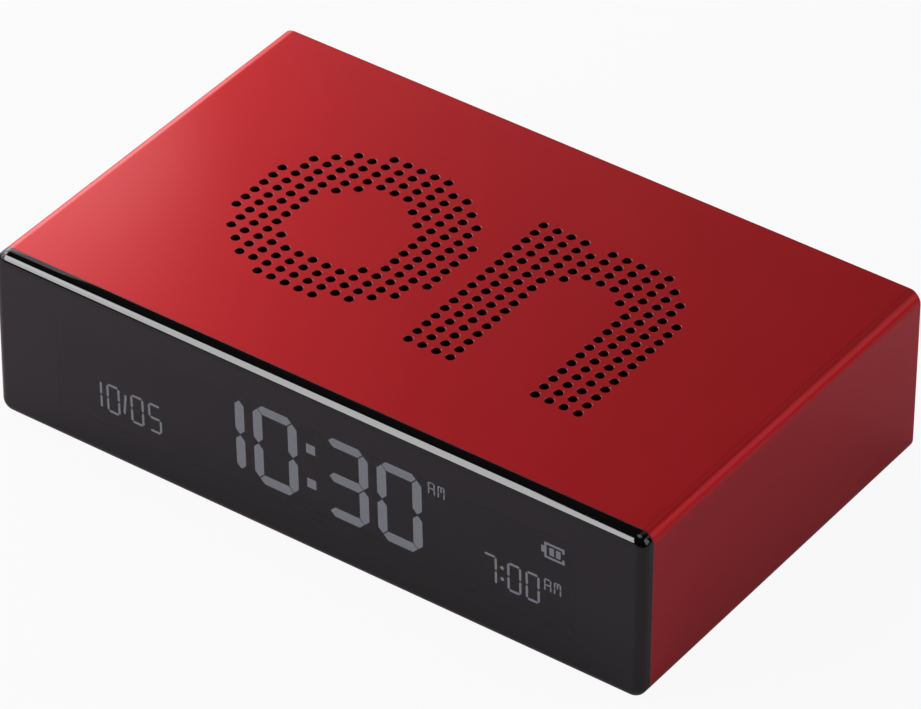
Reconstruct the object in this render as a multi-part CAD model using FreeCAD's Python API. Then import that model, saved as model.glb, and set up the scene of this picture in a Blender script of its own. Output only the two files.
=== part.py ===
"""Reversible bedside alarm clock: a metal sleeve closed by a dark lens and a rear cover.

Frame: millimetres, +Z up, the lens faces -Y, the controls face +Y.
The origin is the centre of the footprint, on the surface that the clock lies on.
"""
import FreeCAD
import Part
import math
import os

Vector = FreeCAD.Vector

# Case
case_width = 109.0
case_height = 27.5
sleeve_length = 65.0
sleeve_wall = 1.3
case_corner = 2.0
sleeve_inner_corner = 0.7
sleeve_end_chamfer = 0.25

# Front lens: a cap that sits on the sleeve's front end, with a rim inside it
lens_thickness = 2.12
lens_seam = 0.08
lens_edge_round = 1.5
lens_rim_depth = 2.0
lens_rim_wall = 1.2
rim_clearance = 0.1

# Adhesive frame and dust gasket behind the lens
tape_thickness = 0.3
gasket_thickness = 0.5
gasket_width = 1.5

# Front frame, which holds the display
frame_clearance = 0.15
frame_side_land = 6.0
frame_long_land = 1.0
frame_nose_gap = 0.3
pocket_clearance = 0.1

# Display: two sheets of glass, a lit plate behind them and a rubber connector
glass_thickness = 1.0
glass_ledge = 3.0
diffuser_thickness = 0.2
guide_thickness = 2.5
reflector_thickness = 0.2
guide_end_gap = 2.2
guide_top_gap = 0.5
strip_height = 2.0
strip_end_gap = 2.0
lamp_thickness = 1.2
lamp_height = 3.0
lamp_depth = 1.8
lamp_spacing = 8.0
display_board_thickness = 1.0
display_board_margin = 1.8

# Chassis: side walls and a floor, screwed between the front frame and the rear cover
chassis_wall = 1.6
chassis_clearance = 0.2
chassis_floor_rise = 2.0
chassis_floor = 1.5
chassis_edge_gap = 0.3
boss_radius = 2.4
pilot_clearance = 0.03
boss_corner_rise = 5.0
front_boss_length = 10.0
rear_boss_length = 9.5
rear_boss_inset = 6.2
boss_web = 1.2

# Screws
screw_shank = 0.95
screw_head = 1.8
screw_head_height = 1.1
fastener_sides = 10
seat_sides = 24
screw_bite = 5.5
screw_hole_clearance = 0.15
board_screw_bite = 4.0

# Cell, with the pad that it is stuck to
battery_length = 46.0
battery_depth = 28.0
battery_thickness = 5.0
battery_corner = 1.5
battery_pad_thickness = 0.3
battery_pad_inset = 4.0
battery_clearance = 0.6
battery_rib = 1.0
battery_rib_height = 2.2
battery_front_gap = 2.0

# Speaker
speaker_radius = 14.0
speaker_rim_height = 3.0
speaker_magnet_radius = 8.5
speaker_magnet_height = 2.0
speaker_cone_radius = 11.5
speaker_cone_depth = 1.6
speaker_dome_radius = 3.5
speaker_dome_rise = 0.8
speaker_dome_top = 1.8
speaker_gasket_thickness = 0.8
speaker_gasket_width = 2.0
speaker_ring_wall = 1.2
speaker_ring_height = 2.6
speaker_clearance = 0.25
speaker_side_gap = 7.0
speaker_tab = 5.0
turned_sides = 36

# Main board, level with the port so that the controls lie on the middle of the rear
board_thickness = 1.2
board_depth = 20.0
board_side_gap = 7.2
board_rear_gap = 2.4
post_radius = 2.3
post_inset = 3.0

# Rear cover
cover_proud = 1.8
cover_inset = 1.0
cover_corner = 1.6
cover_edge_round = 1.2
cover_plate = 2.6
cover_rim_depth = 4.0
cover_rim_wall = 1.5
panel_depth = 0.8
panel_end_gap = 11.5
panel_height = 11.0
panel_corner = 2.0

# Push keys
key_length = 9.0
key_height = 5.0
key_proud = 0.6
key_edge_chamfer = 0.3
key_clearance = 0.2
key_flange = 1.0
key_flange_thickness = 0.8
key_pin_radius = 1.2
key_gap = 0.06
key_travel = 0.5
key_spacing = 13.0
key_end_gap = 15.0

# Switch under each key
switch_length = 6.0
switch_depth = 3.2
switch_height = 3.2
stem_radius = 0.9
stem_reach = 1.2
stem_clearance = 0.08
stem_hidden = 1.4
stem_spare = 0.2

# Mode slider
slider_x = -8.0
slider_travel = 2.5
knob_length = 6.4
knob_height = 4.2
knob_thickness = 0.55
knob_gap = 0.1
knob_rib = 0.4
knob_rib_count = 5
stalk_length = 3.0
stalk_height = 2.0
slot_clearance = 0.2
slide_flange_height = 4.6
slide_flange_thickness = 0.8
fork_length = 3.6
fork_height = 2.8
fork_reach = 1.4
slide_body_length = 10.4
slide_body_depth = 3.4
slide_body_height = 3.2
lever_size = 1.5
lever_reach = 2.0
lever_hidden = 1.4
lever_clearance = 0.1

# Charging port
usb_end_gap = 9.0
usb_width = 8.94
usb_height = 3.16
usb_length = 7.3
usb_wall = 0.28
usb_back = 1.4
usb_clearance = 0.1
usb_mouth_step = 0.4
tongue_width = 6.7
tongue_thickness = 0.7
tongue_length = 4.4

# Tilt switch: a loose ball in a can, which tells which way up the clock lies
ball_radius = 1.6
ball_clearance = 0.2
ball_rest_gap = 0.02
tilt_travel = 2.6
tilt_wall = 0.35
tilt_base_height = 1.2
tilt_end_gap = 10.4
tilt_y_from_board_front = 9.0
pin_radius = 0.3
pin_clearance = 0.1
pin_reach = 1.0

# Touch contacts, from the main board to the sleeve
leaf_thickness = 0.25
leaf_width = 3.0
leaf_foot = 4.0
leaf_bend = 1.0
leaf_lean = 3.0
leaf_gap = 0.05
leaf_end_gap = 20.4
leaf_y_from_board_front = 9.5

# Ribbon between the two boards
ribbon_width = 10.0
ribbon_thickness = 0.2
ribbon_bend = 3.0
ribbon_end_gap = 20.4
socket_width = 12.0
socket_depth = 3.0
socket_height = 2.0
socket_grip = 1.0
display_socket_rise = 3.5

# Parts soldered to the main board
chip_size = 10.0
chip_height = 1.4
chip_y_from_board_front = 7.0
small_chip_size = 5.0
small_chip_x = -14.0
can_radius = 2.5
can_height = 5.5
can_x = 12.0
can_spacing = 7.0
can_edge_gap = 1.0

# Cloth behind the sound holes, above and below
mesh_thickness = 0.2
upper_mesh_length = 76.0
upper_mesh_depth = 39.0
upper_mesh_x = -1.2
upper_mesh_y = -0.9
lower_mesh_length = 86.0
lower_mesh_depth = 51.0

# Levels and stations worked out from the sizes above
lens_proud = lens_thickness + lens_seam
case_depth = lens_proud + sleeve_length + cover_proud
half_width = case_width / 2
mid_z = case_height / 2
lens_front = -case_depth / 2
lens_back = lens_front + lens_thickness
sleeve_front = lens_back + lens_seam
sleeve_rear = sleeve_front + sleeve_length
cover_rear = sleeve_rear + cover_proud
bore_x = half_width - sleeve_wall
bore_low = sleeve_wall
bore_high = case_height - sleeve_wall

lens_rim_end = sleeve_front + lens_rim_depth
frame_front = lens_rim_end + tape_thickness
nose_x = bore_x - rim_clearance - lens_rim_wall - pocket_clearance
nose_low = bore_low + rim_clearance + lens_rim_wall + pocket_clearance
nose_high = case_height - nose_low
glass_x = nose_x - frame_side_land
glass_low = nose_low + frame_long_land
glass_high = nose_high - frame_long_land
glass_front = lens_back + gasket_thickness
glass_back = glass_front + 2 * glass_thickness
guide_front = glass_back + diffuser_thickness
guide_back = guide_front + guide_thickness
guide_x = glass_x - guide_end_gap
guide_low = glass_low + glass_ledge + pocket_clearance
guide_high = glass_high - guide_top_gap
frame_back = guide_back + reflector_thickness
display_board_back = frame_back + display_board_thickness

wall_outer = bore_x - chassis_clearance
wall_inner = wall_outer - chassis_wall
floor_low = bore_low + chassis_floor_rise
floor_top = floor_low + chassis_floor
cover_rim_end = sleeve_rear - cover_rim_depth
cover_inside = cover_rear - cover_plate
chassis_rear = cover_rim_end - chassis_edge_gap
panel_floor = cover_rear - panel_depth
pilot_radius = screw_shank + pilot_clearance
low_row = bore_low + boss_corner_rise
high_row = case_height - low_row
front_boss_x = (glass_x + nose_x) / 2
rear_boss_x = bore_x - rear_boss_inset
corners = [(side, row) for side in (-1, 1) for row in (low_row, high_row)]

board_top = mid_z - usb_height / 2
board_low = board_top - board_thickness
board_x = bore_x - rim_clearance - cover_rim_wall - board_side_gap
board_rear = cover_inside - board_rear_gap
board_front = board_rear - board_depth
half_panel = half_width - cover_inset - panel_end_gap
key_up_x = half_panel - key_end_gap
usb_x = usb_end_gap - half_panel
tilt_x = board_x - tilt_end_gap
leaf_x = board_x - leaf_end_gap
ribbon_x = ribbon_end_gap - board_x
post_x = board_x - post_inset
post_places = [(side * post_x, y) for side in (-1, 1)
               for y in (board_front + post_inset, board_rear - post_inset)]

battery_right = front_boss_x - boss_radius - battery_clearance - battery_rib
battery_left = battery_right - battery_length
battery_front = display_board_back + battery_front_gap + battery_rib
battery_rear = battery_front + battery_depth
battery_low = floor_top + battery_pad_thickness
speaker_x = -wall_inner + speaker_side_gap + speaker_radius
speaker_y = (battery_front + battery_rear) / 2
speaker_low = floor_top + speaker_gasket_thickness

flange_back = cover_inside - key_gap
flange_front = flange_back - key_flange_thickness
key_face = panel_floor + key_proud
stem_tip = board_rear
switch_face = stem_tip - stem_reach
tilt_radius = ball_radius + ball_clearance + tilt_wall
tilt_y = board_front + tilt_y_from_board_front
ball_centre = board_top + tilt_base_height + ball_rest_gap + ball_radius


def place_y(y):
    """Turn a profile's (across, up) into a point on the plane at this y."""
    return lambda across, up: Vector(across, y, up)


def place_z(z):
    """Turn a profile's (across, along) into a point on the plane at this z."""
    return lambda across, along: Vector(across, along, z)


def rounded_face(a0, a1, b0, b1, radius, place):
    """Rectangle with four round corners, as a face."""
    corner_centres = ((a1 - radius, b1 - radius, 0), (a0 + radius, b1 - radius, 90),
                      (a0 + radius, b0 + radius, 180), (a1 - radius, b0 + radius, 270))
    arcs = []
    for ca, cb, start in corner_centres:
        turns = [math.radians(start + step) for step in (0, 45, 90)]
        arcs.append([place(ca + radius * math.cos(t), cb + radius * math.sin(t)) for t in turns])
    edges = []
    for index, points in enumerate(arcs):
        edges.append(Part.Arc(*points).toShape())
        following = arcs[(index + 1) % 4][0]
        if points[2].distanceToPoint(following) > 1e-6:
            edges.append(Part.LineSegment(points[2], following).toShape())
    return Part.Face(Part.Wire(edges))


def plate(x0, x1, z0, z1, radius, y0, y1):
    """Rounded rectangle seen from the front, from y0 back to y1."""
    face = rounded_face(x0, x1, z0, z1, radius, place_y(y0))
    return face.extrude(Vector(0, y1 - y0, 0))


def slab(x0, x1, y0, y1, radius, z0, z1):
    """Rounded rectangle seen from above, from z0 up to z1."""
    face = rounded_face(x0, x1, y0, y1, radius, place_z(z0))
    return face.extrude(Vector(0, 0, z1 - z0))


def block(x0, x1, y0, y1, z0, z1):
    """Plain box between its limits."""
    return Part.makeBox(x1 - x0, y1 - y0, z1 - z0, Vector(x0, y0, z0))


def facet_rim(place, across, up, radius, sides):
    """Corners of a rim with straight sides about a centre; the last repeats the first."""
    turns = [2 * math.pi * step / sides for step in range(sides + 1)]
    return [place(across + radius * math.cos(t), up + radius * math.sin(t)) for t in turns]


def flat_face(points):
    """Face inside a closed run of points."""
    return Part.Face(Part.makePolygon(points))


def bar_y(x, z, radius, y0, y1, sides=fastener_sides):
    """Bar or hole along Y with flat sides, for small round forms that repeat."""
    rim = facet_rim(place_y(y0), x, z, radius, sides)
    return flat_face(rim).extrude(Vector(0, y1 - y0, 0))


def bar_z(x, y, radius, z0, z1, sides=fastener_sides):
    """Bar or hole along Z with flat sides, for small round forms that repeat."""
    rim = facet_rim(place_z(z0), x, y, radius, sides)
    return flat_face(rim).extrude(Vector(0, 0, z1 - z0))


def turned_cone(x, y, radius_low, radius_high, z0, z1):
    """Cone along Z between two radii, for turned forms inside the case."""
    low = facet_rim(place_z(z0), x, y, radius_low, turned_sides)
    high = facet_rim(place_z(z1), x, y, radius_high, turned_sides)
    faces = [flat_face([a, b, c, d, a]) for a, b, c, d in zip(low, low[1:], high[1:], high)]
    return Part.Solid(Part.Shell(faces + [flat_face(low), flat_face(high)]))


def edges_on_y(shape, y):
    """Every edge that lies wholly on the plane at this y."""
    return [edge for edge in shape.Edges
            if abs(edge.BoundBox.YMin - y) < 1e-4 and abs(edge.BoundBox.YMax - y) < 1e-4]


def joined(shapes):
    """One solid from shapes that touch or overlap."""
    first, rest = shapes[0], shapes[1:]
    return first.fuse(rest).removeSplitter()


def bore_plate(gap, radius, y0, y1):
    """Plate that fits the sleeve's bore with a gap all round."""
    return plate(gap - bore_x, bore_x - gap, bore_low + gap, bore_high - gap, radius, y0, y1)


def bent_strip(points, bend, thickness, x0, x1):
    """Flat strip along a route of (y, z) points, with a round bend at each inner point."""
    route = [Vector(0, y, z) for y, z in points]
    runs = [(end - start).normalize() for start, end in zip(route, route[1:])]
    normals = [Vector(0, -run.z, run.y) for run in runs]
    stations = [[(route[0], normals[0])]]
    for index in range(1, len(route) - 1):
        before, after = runs[index - 1], runs[index]
        half_turn = before.getAngle(after) / 2
        back = bend * math.tan(half_turn)
        middle_normal = (normals[index - 1] + normals[index]).normalize()
        outward = (before - after).normalize()
        middle = route[index] - outward * (bend / math.cos(half_turn) - bend)
        stations.append([(route[index] - before * back, normals[index - 1]),
                         (middle, middle_normal),
                         (route[index] + after * back, normals[index])])
    stations.append([(route[-1], normals[-1])])
    sides = []
    for offset in (thickness / 2, -thickness / 2):
        sides.append([[point + normal * offset for point, normal in group] for group in stations])
    edges = []
    for side in sides:
        for group in side[1:-1]:
            edges.append(Part.Arc(*group).toShape())
        for group, following in zip(side, side[1:]):
            edges.append(Part.LineSegment(group[-1], following[0]).toShape())
    for end in (0, -1):
        edges.append(Part.LineSegment(sides[0][end][0], sides[1][end][0]).toShape())
    face = Part.Face(Part.Wire(Part.__sortEdges__(edges)))
    face.translate(Vector(x0, 0, 0))
    return face.extrude(Vector(x1 - x0, 0, 0))


def case_sleeve():
    """Extruded tube, with a fine chamfer on the outside of both ends."""
    outer = plate(-half_width, half_width, 0, case_height, case_corner, sleeve_front, sleeve_rear)
    ends = edges_on_y(outer, sleeve_front) + edges_on_y(outer, sleeve_rear)
    outer = outer.makeChamfer(sleeve_end_chamfer, ends)
    return outer.cut(bore_plate(0, sleeve_inner_corner, sleeve_front, sleeve_rear))


def front_lens():
    """Smoked cap as large as the sleeve, with a rounded face and a rim that enters the bore."""
    cap = plate(-half_width, half_width, 0, case_height, case_corner, lens_front, lens_back)
    cap = cap.makeFillet(lens_edge_round, edges_on_y(cap, lens_front))
    rim = bore_plate(rim_clearance, sleeve_inner_corner, lens_back, lens_rim_end)
    hollow = bore_plate(rim_clearance + lens_rim_wall, sleeve_inner_corner, lens_back, lens_rim_end)
    return joined([cap, rim.cut(hollow)])


def lens_tape():
    """Double-sided adhesive ring between the lens rim and the front frame."""
    ring = bore_plate(frame_clearance, sleeve_inner_corner, lens_rim_end, frame_front)
    gap = rim_clearance + lens_rim_wall
    return ring.cut(bore_plate(gap, sleeve_inner_corner, lens_rim_end, frame_front))


def display_gasket():
    """Foam ring that keeps dust off the glass."""
    ring = block(-glass_x, glass_x, lens_back, glass_front, glass_low, glass_high)
    return ring.cut(block(gasket_width - glass_x, glass_x - gasket_width, lens_back, glass_front,
                          glass_low + gasket_width, glass_high - gasket_width))


def front_frame():
    """Moulded frame: a full-size flange, a nose inside the lens rim and the display's pocket."""
    flange = bore_plate(frame_clearance, sleeve_inner_corner, frame_front, frame_back)
    nose = plate(-nose_x, nose_x, nose_low, nose_high, sleeve_inner_corner,
                 lens_back + frame_nose_gap, frame_front)
    frame = joined([flange, nose])
    gap = pocket_clearance
    frame = frame.cut(block(-glass_x - gap, glass_x + gap, lens_front, frame_back,
                            glass_low - gap, glass_high + gap))
    nose_front = lens_back + frame_nose_gap
    for side, row in corners:
        x = side * front_boss_x
        frame = frame.cut(bar_y(x, row, screw_shank + screw_hole_clearance, nose_front, frame_back))
        frame = frame.cut(bar_y(x, row, screw_head + screw_hole_clearance,
                                nose_front, nose_front + screw_head_height))
    return frame


def lcd_glass():
    """Two sheets of glass; the rear one is shorter and leaves the contact ledge bare."""
    front = block(-glass_x, glass_x, glass_front, glass_front + glass_thickness,
                  glass_low, glass_high)
    rear = block(-glass_x, glass_x, glass_front + glass_thickness, glass_back,
                 glass_low + glass_ledge, glass_high)
    return joined([front, rear])


def diffuser_film():
    """Thin white film on the front of the light guide."""
    return block(-guide_x, guide_x, glass_back, guide_front, guide_low, guide_high)


def light_guide():
    """Clear plate that spreads the lamps' light over the whole display."""
    return block(-guide_x, guide_x, guide_front, guide_back, guide_low, guide_high)


def reflector_film():
    """Thin bright film on the back of the light guide."""
    return block(-guide_x, guide_x, guide_back, frame_back, guide_low, guide_high)


def backlight_lamps():
    """Two small lamps at each end of the light guide, soldered to the display board."""
    lamps = []
    for side in (-1, 1):
        centre = side * (guide_x + guide_end_gap / 2)
        for rise in (-lamp_spacing / 2, lamp_spacing / 2):
            lamps.append(block(centre - lamp_thickness / 2, centre + lamp_thickness / 2,
                               frame_back - lamp_depth, frame_back,
                               mid_z + rise - lamp_height / 2, mid_z + rise + lamp_height / 2))
    return Part.makeCompound(lamps)


def contact_strip():
    """Striped rubber that joins the glass ledge to the display board."""
    spare = (glass_ledge - strip_height) / 2
    return block(strip_end_gap - glass_x, glass_x - strip_end_gap,
                 glass_front + glass_thickness, frame_back,
                 glass_low + spare, glass_low + spare + strip_height)


def display_board():
    """Board behind the display, clamped between the front frame and the chassis bosses."""
    gap = frame_clearance + display_board_margin
    board = bore_plate(gap, sleeve_inner_corner, frame_back, display_board_back)
    for side, row in corners:
        board = board.cut(bar_y(side * front_boss_x, row, screw_shank + screw_hole_clearance,
                                frame_back, display_board_back))
    return board


def screw_to_front(x, z, seat, bite):
    """Screw driven from behind: its head lies behind the seat and its shank ahead of it."""
    head = bar_y(x, z, screw_head, seat, seat + screw_head_height)
    return joined([head, bar_y(x, z, screw_shank, seat - bite, seat)])


def screw_to_rear(x, z, seat, bite):
    """Screw driven from the front: its head lies ahead of the seat and its shank behind it."""
    head = bar_y(x, z, screw_head, seat - screw_head_height, seat)
    return joined([head, bar_y(x, z, screw_shank, seat, seat + bite)])


def frame_screws():
    """Four screws through the front frame and the display board into the chassis."""
    seat = lens_back + frame_nose_gap + screw_head_height
    length = display_board_back - seat + screw_bite
    return Part.makeCompound([screw_to_rear(side * front_boss_x, row, seat, length)
                              for side, row in corners])


def chassis_floor_plate():
    """Floor between the side walls, open under the speaker and between cell and main board."""
    floor = block(-wall_outer, wall_outer, display_board_back, chassis_rear, floor_low, floor_top)
    hole = bar_z(speaker_x, speaker_y, speaker_magnet_radius + speaker_gasket_width,
                 floor_low, floor_top, turned_sides)
    slots = []
    slot_x0 = battery_left + battery_pad_inset
    slot_x1 = battery_right - battery_pad_inset
    slot_pitch = battery_depth / 4
    for index in range(4):
        middle = battery_front + slot_pitch * (index + 0.5)
        slots.append(block(slot_x0, slot_x1, middle - slot_pitch / 4, middle + slot_pitch / 4,
                           floor_low, floor_top))
    return floor.cut([hole] + slots)


def chassis_boss(side, row, boss_x, y0, y1):
    """Screw boss with the web that ties it to the side wall."""
    boss = bar_y(side * boss_x, row, boss_radius, y0, y1)
    ends = sorted((side * boss_x, side * wall_outer))
    web = block(ends[0], ends[1], y0, y1, row - boss_web / 2, row + boss_web / 2)
    return [boss, web]


def speaker_tabs():
    """Four curved tabs that centre the speaker on the floor."""
    inner = speaker_radius + speaker_clearance
    outer = inner + speaker_ring_wall
    top = floor_top + speaker_ring_height
    ring = bar_z(speaker_x, speaker_y, outer, floor_top, top, turned_sides)
    ring = ring.cut(bar_z(speaker_x, speaker_y, inner, floor_top, top, turned_sides))
    half = speaker_tab / 2
    along = block(speaker_x - outer, speaker_x + outer, speaker_y - half, speaker_y + half,
                  floor_top, top)
    across = block(speaker_x - half, speaker_x + half, speaker_y - outer, speaker_y + outer,
                   floor_top, top)
    return ring.common(along.fuse(across))


def chassis():
    """Moulded carrier for the cell, the speaker and the main board."""
    gap = chassis_edge_gap
    solids = [chassis_floor_plate()]
    for side in (-1, 1):
        ends = sorted((side * wall_inner, side * wall_outer))
        solids.append(block(ends[0], ends[1], display_board_back, chassis_rear,
                            bore_low + gap, bore_high - gap))
    for side, row in corners:
        solids += chassis_boss(side, row, front_boss_x, display_board_back,
                               display_board_back + front_boss_length)
        solids += chassis_boss(side, row, rear_boss_x, chassis_rear - rear_boss_length, chassis_rear)
    for x, y in post_places:
        solids.append(bar_z(x, y, post_radius, floor_low, board_low))
    solids.append(speaker_tabs())
    fit = battery_clearance
    rib = block(battery_left - fit - battery_rib, battery_right + fit + battery_rib,
                battery_front - fit - battery_rib, battery_rear + fit + battery_rib,
                floor_top, floor_top + battery_rib_height)
    solids.append(rib.cut(block(battery_left - fit, battery_right + fit,
                                battery_front - fit, battery_rear + fit,
                                floor_top, floor_top + battery_rib_height)))
    body = joined(solids)
    pilots = []
    for side, row in corners:
        pilots.append(bar_y(side * front_boss_x, row, pilot_radius,
                            display_board_back, display_board_back + front_boss_length))
        pilots.append(bar_y(side * rear_boss_x, row, pilot_radius,
                            chassis_rear - rear_boss_length, chassis_rear))
    for x, y in post_places:
        pilots.append(bar_z(x, y, pilot_radius, floor_low, board_low))
    return body.cut(pilots)


def battery_pad():
    """Foam tape under the cell."""
    return block(battery_left + battery_pad_inset, battery_right - battery_pad_inset,
                 battery_front + battery_pad_inset, battery_rear - battery_pad_inset,
                 floor_top, battery_low)


def battery():
    """Flat pouch cell with the folded strip that holds its protection board."""
    strip = battery_corner * 2
    top = battery_low + battery_thickness
    cell = slab(battery_left, battery_right - strip, battery_front, battery_rear,
                battery_corner, battery_low, top)
    rims = [edge for edge in cell.Edges if abs(edge.BoundBox.ZMin - edge.BoundBox.ZMax) < 1e-4]
    cell = cell.makeChamfer(battery_corner / 2, rims)
    fold = block(battery_right - strip - battery_corner, battery_right,
                 battery_front + battery_corner, battery_rear - battery_corner,
                 battery_low + battery_corner / 2, battery_low + battery_thickness * 0.7)
    return joined([cell, fold])


def speaker_gasket():
    """Foam ring that the speaker rests on."""
    outer = bar_z(speaker_x, speaker_y, speaker_radius, floor_top, speaker_low, turned_sides)
    return outer.cut(bar_z(speaker_x, speaker_y, speaker_radius - speaker_gasket_width,
                           floor_top, speaker_low, turned_sides))


def speaker():
    """Round speaker facing up: magnet below, rim, cone and centre dome."""
    top = speaker_low + speaker_rim_height
    cone_low = top - speaker_cone_depth
    x, y = speaker_x, speaker_y
    magnet = bar_z(x, y, speaker_magnet_radius, speaker_low - speaker_magnet_height, speaker_low,
                   turned_sides)
    rim = bar_z(x, y, speaker_radius, speaker_low, top, turned_sides)
    cone = turned_cone(x, y, speaker_dome_radius, speaker_cone_radius, cone_low, top)
    dome = turned_cone(x, y, speaker_dome_radius, speaker_dome_top,
                       cone_low, cone_low + speaker_dome_rise)
    return joined([magnet, rim.cut(cone), dome])


def main_board():
    """Main board with its four screw holes and the pin holes of the tilt switch."""
    board = block(-board_x, board_x, board_front, board_rear, board_low, board_top)
    holes = [bar_z(x, y, screw_shank + screw_hole_clearance, board_low, board_top)
             for x, y in post_places]
    for x in tilt_pin_places():
        holes.append(bar_z(x, tilt_y, pin_radius + pin_clearance, board_low, board_top))
    return board.cut(holes)


def board_screws():
    """Four screws that hold the main board to its posts."""
    screws = []
    for x, y in post_places:
        head = bar_z(x, y, screw_head, board_top, board_top + screw_head_height)
        shank = bar_z(x, y, screw_shank, board_low - board_screw_bite, board_top)
        screws.append(joined([head, shank]))
    return Part.makeCompound(screws)


def board_parts():
    """Processor, charging chip and two capacitors on the main board."""
    y = board_front + chip_y_from_board_front
    solids = []
    for x, size in ((0, chip_size), (small_chip_x, small_chip_size)):
        solids.append(block(x - size / 2, x + size / 2, y - size / 2, y + size / 2,
                            board_top, board_top + chip_height))
    for x in (can_x, can_x + can_spacing):
        solids.append(bar_z(x, board_front + can_radius + can_edge_gap, can_radius,
                            board_top, board_top + can_height, seat_sides))
    return Part.makeCompound(solids)


def ribbon_levels():
    """Heights of the ribbon at the display board and at the main board."""
    return mid_z + display_socket_rise, board_top + socket_height / 2


def ribbon_sockets():
    """One ribbon socket on each board, with its slot cut for the ribbon."""
    high, low = ribbon_levels()
    half = socket_width / 2
    back = display_board_back + socket_height
    rear = block(ribbon_x - half, ribbon_x + half, display_board_back, back,
                 high - socket_depth / 2, high + socket_depth / 2)
    front = block(ribbon_x - half, ribbon_x + half, board_front, board_front + socket_depth,
                  board_top, board_top + socket_height)
    play = ribbon_thickness / 2 + 0.05
    slot_x = ribbon_width / 2 + 0.1
    rear = rear.cut(block(ribbon_x - slot_x, ribbon_x + slot_x, back - socket_grip, back,
                          high - play, high + play))
    front = front.cut(block(ribbon_x - slot_x, ribbon_x + slot_x,
                            board_front, board_front + socket_grip + 0.1, low - play, low + play))
    return Part.makeCompound([rear, front])


def ribbon_cable():
    """Flat ribbon from the display board down to the main board."""
    high, low = ribbon_levels()
    start = display_board_back + socket_height - socket_grip + 0.05
    end = board_front + socket_grip
    span = end - start
    route = [(start, high), (start + 0.4 * span, high), (start + 0.6 * span, low), (end, low)]
    return bent_strip(route, ribbon_bend, ribbon_thickness,
                      ribbon_x - ribbon_width / 2, ribbon_x + ribbon_width / 2)


def touch_contacts():
    """Two spring leaves that stand on the main board and press on the inside of the sleeve."""
    foot_z = board_top + leaf_thickness / 2
    head_z = bore_high - leaf_gap - leaf_thickness / 2
    y = board_front + leaf_y_from_board_front
    route = [(y, foot_z), (y + leaf_foot, foot_z), (y + leaf_foot - leaf_lean, head_z),
             (y + 2 * leaf_foot - leaf_lean, head_z)]
    return Part.makeCompound([bent_strip(route, leaf_bend, leaf_thickness,
                                         x - leaf_width / 2, x + leaf_width / 2)
                              for x in (-leaf_x, leaf_x)])


def tilt_pin_places():
    """Places along X of the two pins under the tilt switch."""
    return tilt_x - tilt_radius / 2, tilt_x + tilt_radius / 2


def tilt_base():
    """Insulating base of the tilt switch, with its two pins through the board."""
    base = bar_z(tilt_x, tilt_y, tilt_radius, board_top, board_top + tilt_base_height, seat_sides)
    pins = [bar_z(x, tilt_y, pin_radius, board_low - pin_reach, board_top)
            for x in tilt_pin_places()]
    return joined([base] + pins)


def tilt_can():
    """Closed can over the base, in which the ball rolls."""
    low = board_top + tilt_base_height
    room = ball_rest_gap + 2 * ball_radius + tilt_travel + ball_rest_gap
    outer = bar_z(tilt_x, tilt_y, tilt_radius, low, low + room + tilt_wall, seat_sides)
    return outer.cut(bar_z(tilt_x, tilt_y, tilt_radius - tilt_wall, low, low + room, seat_sides))


def tilt_ball():
    """Loose ball: it lies at the base end, and at the other end when the clock is flipped."""
    return Part.makeSphere(ball_radius, Vector(tilt_x, tilt_y, ball_centre))


def mesh_upper():
    """Cloth bonded behind the upper sound holes."""
    half_length, half_depth = upper_mesh_length / 2, upper_mesh_depth / 2
    return block(upper_mesh_x - half_length, upper_mesh_x + half_length,
                 upper_mesh_y - half_depth, upper_mesh_y + half_depth,
                 bore_high - mesh_thickness, bore_high)


def mesh_lower():
    """Cloth bonded behind the lower sound holes."""
    half_length, half_depth = lower_mesh_length / 2, lower_mesh_depth / 2
    return block(-half_length, half_length, -half_depth, half_depth,
                 bore_low, bore_low + mesh_thickness)


def key_places():
    """Places along X of the two keys."""
    return key_up_x, key_up_x - key_spacing


def cover_openings():
    """Cuts for the control panel, keys, slider, port and screws."""
    cuts = [plate(-half_panel, half_panel, mid_z - panel_height / 2, mid_z + panel_height / 2,
                  panel_corner, panel_floor, cover_rear)]
    half_key = key_height / 2 + key_clearance
    for x in key_places():
        reach = key_length / 2 + key_clearance
        cuts.append(plate(x - reach, x + reach, mid_z - half_key, mid_z + half_key,
                          half_key - 0.01, cover_inside, panel_floor))
    reach = slider_travel + stalk_length / 2 + slot_clearance
    rise = stalk_height / 2 + slot_clearance
    cuts.append(plate(slider_x - reach, slider_x + reach, mid_z - rise, mid_z + rise,
                      rise - 0.01, cover_inside, panel_floor))
    reach = usb_width / 2 + usb_clearance
    rise = usb_height / 2 + usb_clearance
    cuts.append(plate(usb_x - reach, usb_x + reach, mid_z - rise, mid_z + rise,
                      rise - 0.01, cover_inside, panel_floor))
    for side, row in corners:
        cuts.append(bar_y(side * rear_boss_x, row, screw_shank + screw_hole_clearance,
                          cover_rim_end, cover_rear))
        cuts.append(bar_y(side * rear_boss_x, row, screw_head + screw_hole_clearance,
                          cover_screw_seat(), cover_rear, seat_sides))
    return cuts


def cover_screw_seat():
    """Station where the heads of the cover screws bear, sunk below the rear face."""
    return cover_rear - screw_head_height - panel_depth / 2


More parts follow.
